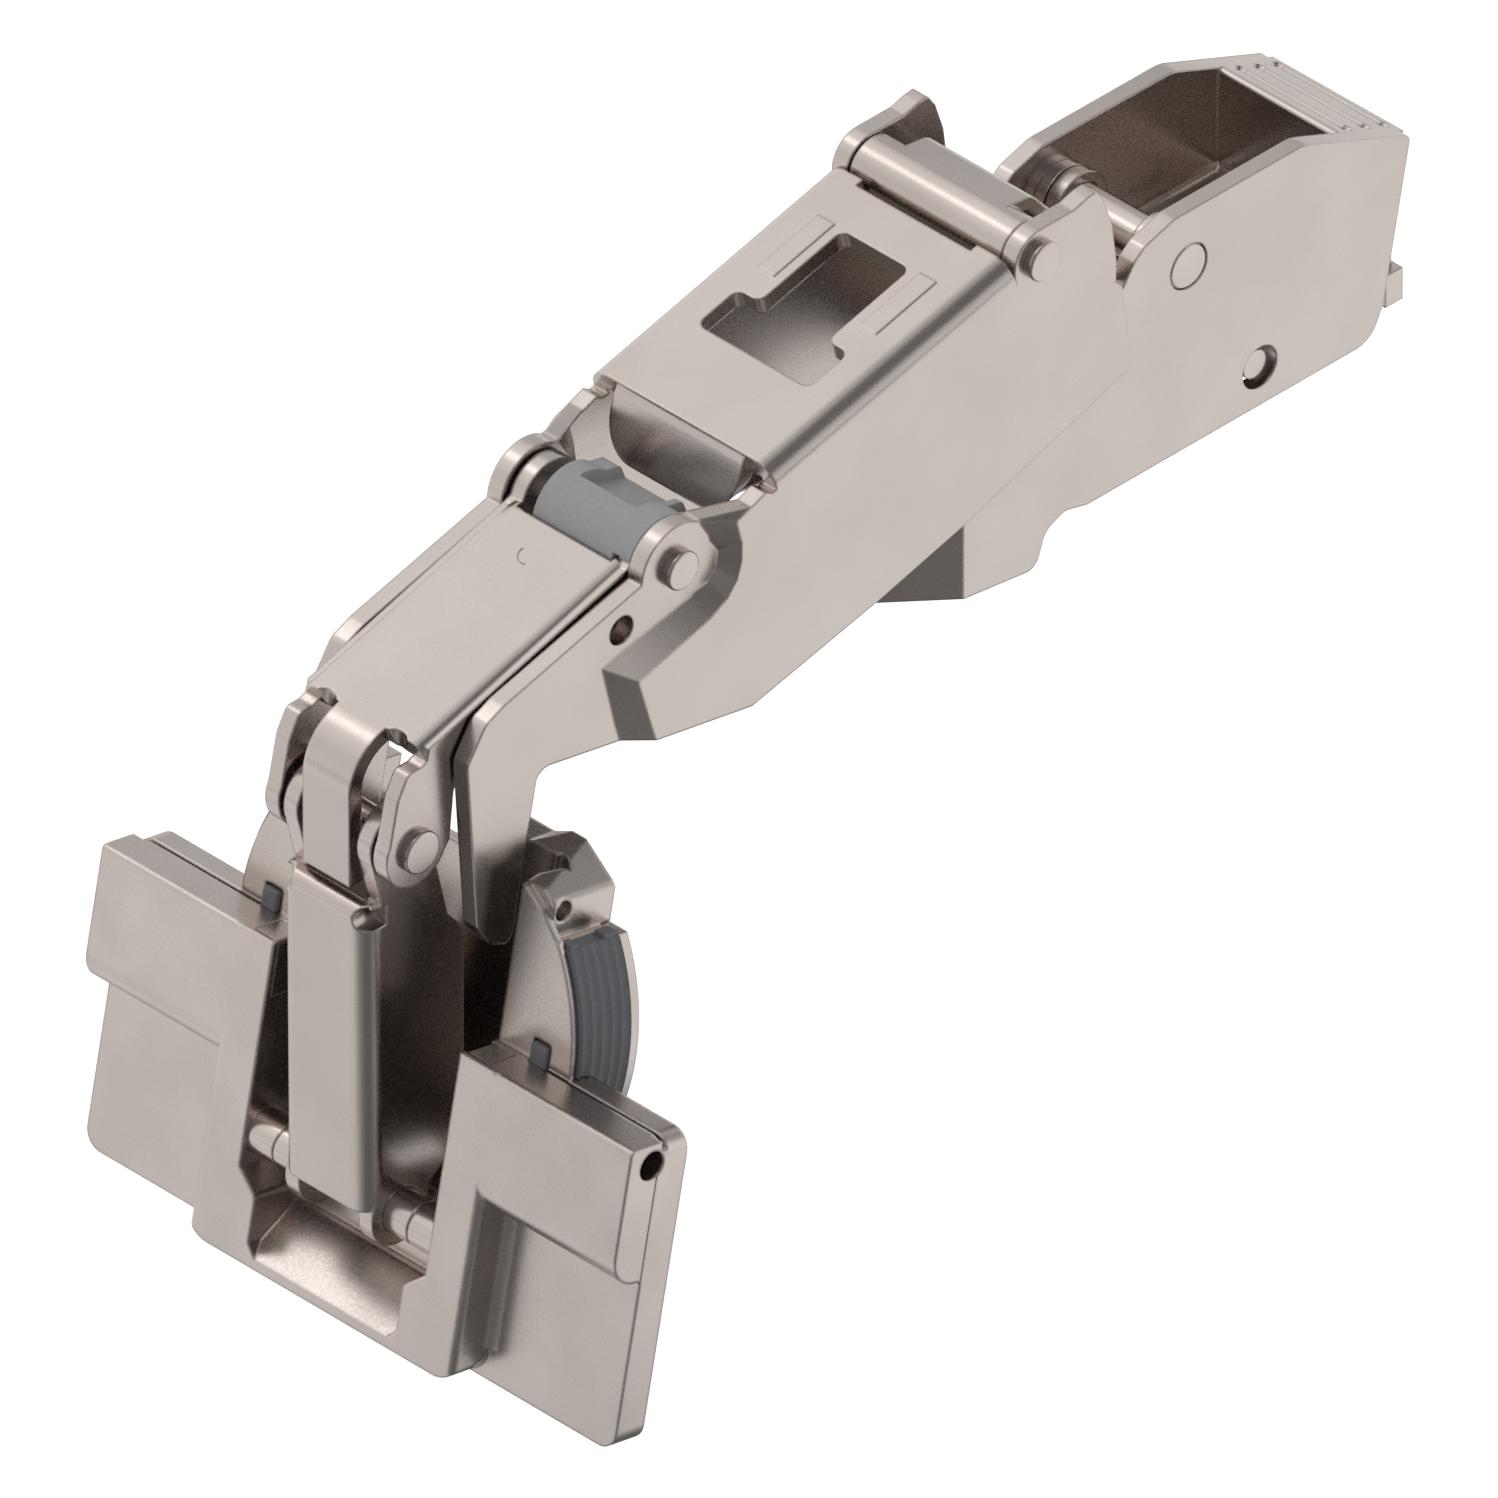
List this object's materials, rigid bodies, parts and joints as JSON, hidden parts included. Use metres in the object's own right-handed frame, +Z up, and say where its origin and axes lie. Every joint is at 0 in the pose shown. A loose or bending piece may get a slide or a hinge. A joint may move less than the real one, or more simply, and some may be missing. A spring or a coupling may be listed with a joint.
{
  "type": "wide-angle cabinet hinge",
  "caption": "Wide-angle concealed cabinet hinge: clip-on arm, folding links and a 35 mm cup with wings, drawn at full opening.",
  "frame": {"origin": "mid-width on the plane where the arm sits on its mounting plate, straight under the clip pin", "axes": "+X rearwards along the arm into the cabinet, +Y across the hinge, +Z up from the mounting plate"},
  "size_m": [0.1068, 0.055, 0.0703],
  "materials": {
    "plated_steel_sheet": "satin nickel plating on rolled steel sheet",
    "plated_zinc_casting": "satin nickel plating on a zinc die-casting",
    "steel_pin": "bright plated turned pin",
    "spring_steel": "bright spring steel",
    "grey_acetal": "moulded, satin",
    "dark_acetal": "moulded, satin"
  },
  "bodies": {
    "arm": {"arm_body": "plated_steel_sheet", "top_pin": "steel_pin", "front_hook": "plated_steel_sheet", "clip_pin": "steel_pin", "clip_washer_left": "steel_pin", "clip_washer_right": "steel_pin", "clip_spring": "spring_steel", "front_pin": "steel_pin"},
    "release_lever": {"clip_lever": "plated_steel_sheet", "catch_pin": "steel_pin"},
    "front_link": {"front_link": "plated_steel_sheet", "cam_roller": "grey_acetal", "knuckle_pin": "steel_pin"},
    "cup_link": {"cup_link": "plated_steel_sheet"},
    "cup": {"cup_body": "plated_zinc_casting", "cup_back_plate": "plated_steel_sheet", "cup_pin": "steel_pin", "leaf_clip_left": "spring_steel", "leaf_clip_right": "spring_steel"},
    "jaw_left": {"jaw_left": "dark_acetal"},
    "jaw_right": {"jaw_right": "dark_acetal"},
    "slider_left": {"slider_left": "dark_acetal"},
    "slider_right": {"slider_right": "dark_acetal"}
  },
  "joints": [
    {"name": "hinge_fold", "type": "hinge", "parent": "arm", "child": "front_link", "pos_m": [-0.0535, 0, 0.016], "axis": [0, 1, 0], "range_deg": [0, 119]},
    {"name": "knuckle_fold", "type": "hinge", "parent": "front_link", "child": "cup_link", "pos_m": [-0.0785, 0, 0.00245], "axis": [0, 1, 0], "range_deg": [-82.4, 0]},
    {"name": "cup_fold", "type": "hinge", "parent": "cup_link", "child": "cup", "pos_m": [-0.0786, 0, -0.0306], "axis": [0, 1, 0], "range_deg": [0, 131.8]},
    {"name": "clip_release", "type": "hinge", "parent": "arm", "child": "release_lever", "pos_m": [0, 0, 0.0161], "axis": [0, 1, 0], "range_deg": [-2, 2], "stiffness_Nm_per_rad": 0.2},
    {"name": "slider_left_press", "type": "slide", "parent": "cup", "child": "slider_left", "axis": [-0.1968, 0, -0.9804], "range_m": [0, 0.0015]},
    {"name": "slider_right_press", "type": "slide", "parent": "cup", "child": "slider_right", "axis": [-0.1968, 0, -0.9804], "range_m": [0, 0.0015]},
    {"name": "jaw_left_spread", "type": "slide", "parent": "cup", "child": "jaw_left", "axis": [0, 1, 0], "range_m": [0, 0.0005]},
    {"name": "jaw_right_spread", "type": "slide", "parent": "cup", "child": "jaw_right", "axis": [0, -1, 0], "range_m": [0, 0.0005]}
  ],
  "couplings": [
    {"joint": "knuckle_fold", "follows": "hinge_fold", "ratio": -0.692},
    {"joint": "cup_fold", "follows": "hinge_fold", "ratio": 1.107},
    {"joint": "slider_left_press", "follows": "jaw_left_spread", "ratio": 3},
    {"joint": "slider_right_press", "follows": "jaw_right_spread", "ratio": 3}
  ]
}
